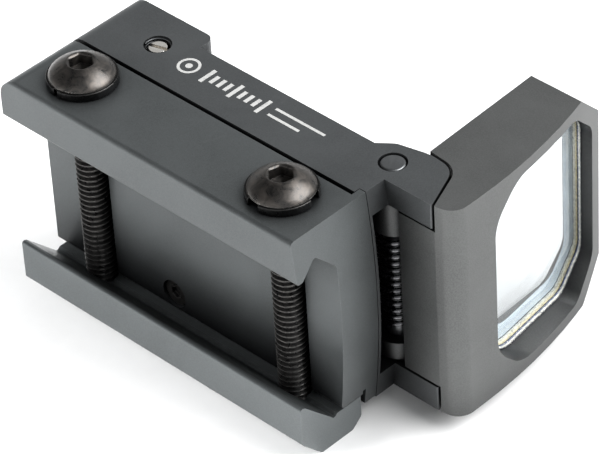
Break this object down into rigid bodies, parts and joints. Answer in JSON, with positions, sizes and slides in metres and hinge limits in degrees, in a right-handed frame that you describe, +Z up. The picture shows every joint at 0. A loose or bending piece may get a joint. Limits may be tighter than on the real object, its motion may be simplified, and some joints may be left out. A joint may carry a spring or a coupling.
{
  "type": "folding red dot finder",
  "caption": "Folding open reflex finder lying on its side, with a slotted rail clamp, sprung lens hood, windage and elevation screws, and a coin-cell pocket.",
  "frame": {"origin": "below the middle of the object's box, on the plane its lowest side lies on", "axes": "+X towards the lens (the viewing direction), +Y the sight's own up, away from the rail, +Z up, across the sight's width, from the moving jaw to the screw heads"},
  "size_m": [0.054, 0.0414, 0.0333],
  "materials": {
    "housing": "black anodised, satin",
    "base": "black anodised, satin",
    "jaw": "black anodised, satin",
    "hood": "black anodised, fine blasted",
    "black_steel": "black oxide",
    "washer": "glossy black",
    "pin": "dark satin",
    "spring": "bare spring steel",
    "nickel": "nickel plated",
    "lens": "clear, coated",
    "black_plastic": "matt black",
    "rubber": "matt",
    "brass": "turned",
    "emitter": "tinted clear",
    "board": "solder mask",
    "cell": "nickel-plated steel"
  },
  "bodies": {
    "body": {"body_housing": "housing", "rail_base": "base", "base_screw_1": "black_steel", "base_screw_2": "black_steel", "lock_washer_rear": "washer", "lock_washer_front": "washer", "chamber_cover": "housing", "cover_screw_1": "black_steel", "cover_screw_2": "black_steel", "emitter_window": "lens", "emitter_board": "board", "circuit_board": "board", "contact_spring": "brass", "coin_cell": "cell", "cap_seal": "rubber", "hinge_pin": "pin", "torsion_spring": "spring", "elevation_spring": "spring", "windage_spring": "spring"},
    "hood": {"hood_frame": "hood", "front_lens": "lens", "rear_lens": "lens", "lens_retainer": "black_plastic"},
    "jaw": {"moving_jaw": "jaw"},
    "rear_screw": {"clamp_screw_rear": "black_steel"},
    "front_screw": {"clamp_screw_front": "black_steel"},
    "windage_adjuster": {"windage_screw": "nickel"},
    "elevation_adjuster": {"elevation_screw": "nickel"},
    "carriage": {"elevation_carriage": "brass"},
    "emitter_stage": {"emitter_holder": "brass", "emitter": "emitter"},
    "button": {"brightness_button": "rubber"},
    "catch": {"fold_catch": "black_steel"},
    "battery_lid": {"battery_cap": "black_plastic"}
  },
  "joints": [
    {"name": "hood_fold", "type": "hinge", "parent": "body", "child": "hood", "pos_m": [0.01614, -0.00402, 0.0165], "axis": [0, 0, 1], "range_deg": [0, 88], "stiffness_Nm_per_rad": 0.01, "springref_deg": -45.84},
    {"name": "jaw_slide", "type": "slide", "parent": "body", "child": "jaw", "axis": [0, 0, 1], "range_m": [-0.0028, 0.00017]},
    {"name": "rear_screw_turn", "type": "hinge", "parent": "body", "child": "rear_screw", "pos_m": [-0.01898, -0.01533, 0.0165], "axis": [0, 0, 1], "range_deg": [-91, 1441]},
    {"name": "front_screw_turn", "type": "hinge", "parent": "body", "child": "front_screw", "pos_m": [0.01104, -0.01533, 0.0165], "axis": [0, 0, 1], "range_deg": [-91, 1441]},
    {"name": "emitter_shift", "type": "slide", "parent": "carriage", "child": "emitter_stage", "axis": [0, 0, 1], "range_m": [-0.0005, 0.0005]},
    {"name": "windage_turn", "type": "hinge", "parent": "body", "child": "windage_adjuster", "pos_m": [-0.01752, -0.00547, 0.0165], "axis": [0, 0, 1], "range_deg": [-721, 721]},
    {"name": "carriage_lift", "type": "slide", "parent": "body", "child": "carriage", "axis": [0, 1, 0], "range_m": [-0.0003, 0.0003]},
    {"name": "elevation_turn", "type": "hinge", "parent": "body", "child": "elevation_adjuster", "pos_m": [-0.02159, -0.00402, 0.0165], "axis": [0, 1, 0], "range_deg": [-433, 433]},
    {"name": "button_press", "type": "slide", "parent": "body", "child": "button", "axis": [1, 0, 0], "range_m": [0, 0.0005], "stiffness_N_per_m": 800, "springref_m": -0.0005},
    {"name": "catch_slide", "type": "slide", "parent": "body", "child": "catch", "axis": [1, 0, 0], "range_m": [0, 0.001]},
    {"name": "battery_lid_turn", "type": "hinge", "parent": "body", "child": "battery_lid", "pos_m": [0.00102, -0.00402, 0.0165], "axis": [0, 1, 0], "range_deg": [0, 90]}
  ],
  "couplings": [
    {"joint": "rear_screw_turn", "follows": "jaw_slide", "rad_per_m": -8976},
    {"joint": "front_screw_turn", "follows": "jaw_slide", "rad_per_m": -8976},
    {"joint": "windage_turn", "follows": "emitter_shift", "rad_per_m": 25133},
    {"joint": "elevation_turn", "follows": "carriage_lift", "rad_per_m": 25133}
  ]
}
